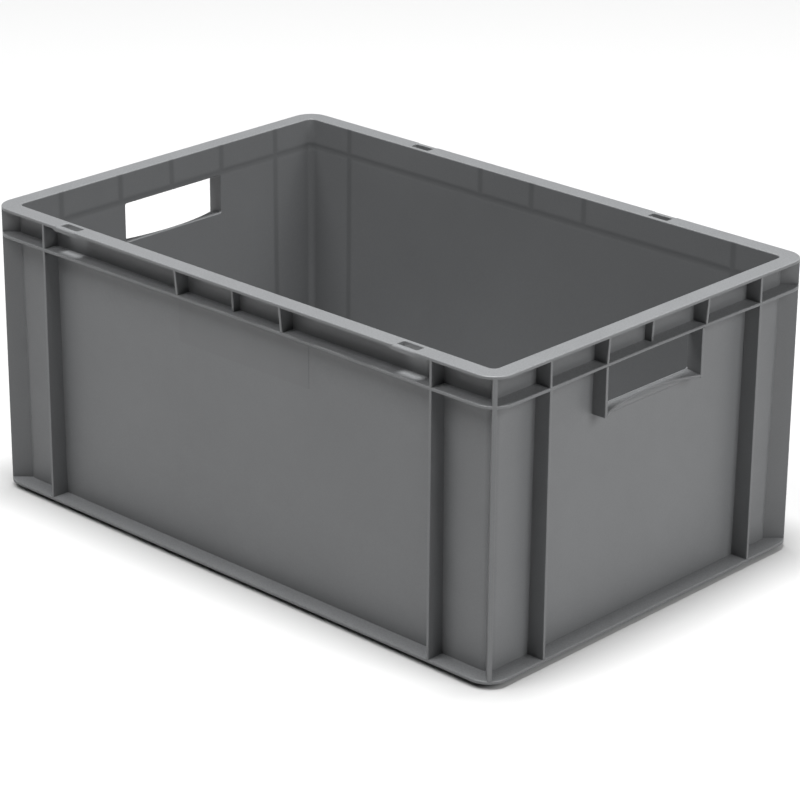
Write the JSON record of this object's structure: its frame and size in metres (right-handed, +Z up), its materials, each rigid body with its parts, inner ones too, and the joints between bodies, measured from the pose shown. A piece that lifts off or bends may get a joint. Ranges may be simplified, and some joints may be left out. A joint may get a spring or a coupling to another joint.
{
  "type": "stacking crate",
  "caption": "Open-topped rectangular stacking crate with solid walls, a flat rim, a stiffening ring, ribbed corner posts, a hand-hold at each end and lid slots.",
  "frame": {"origin": "centre of the 600 x 400 mm footprint, on the plane that the crate stands on", "axes": "+X along the 600 mm side, +Y along the 400 mm side with the label field facing -Y, +Z up"},
  "size_m": [0.6, 0.4, 0.27],
  "materials": {
    "moulding": "satin dark grey polypropylene with a fine moulded grain",
    "label_field": "smooth satin dark grey polypropylene"
  },
  "bodies": {
    "root": {"band_ribs_back": "moulding", "band_ribs_front": "moulding", "band_ribs_left": "moulding", "band_ribs_right": "moulding", "base_flange_back": "moulding", "base_flange_front": "moulding", "base_flange_left": "moulding", "base_flange_right": "moulding", "corner_post_back_left": "moulding", "corner_post_back_right": "moulding", "corner_post_front_left": "moulding", "corner_post_front_right": "moulding", "floor_panel": "moulding", "hand_hold_left": "moulding", "hand_hold_right": "moulding", "label_panel": "label_field", "lid_slot_collar_back_left": "moulding", "lid_slot_collar_back_right": "moulding", "lid_slot_collar_front_left": "moulding", "lid_slot_collar_front_right": "moulding", "rim_back": "moulding", "rim_front": "moulding", "rim_left": "moulding", "rim_right": "moulding", "stacking_foot_back": "moulding", "stacking_foot_front": "moulding", "stacking_foot_left": "moulding", "stacking_foot_right": "moulding", "stiffening_ring_back": "moulding", "stiffening_ring_front": "moulding", "stiffening_ring_left": "moulding", "stiffening_ring_right": "moulding", "wall_back": "moulding", "wall_front": "moulding", "wall_left": "moulding", "wall_right": "moulding"}
  },
  "joints": []
}
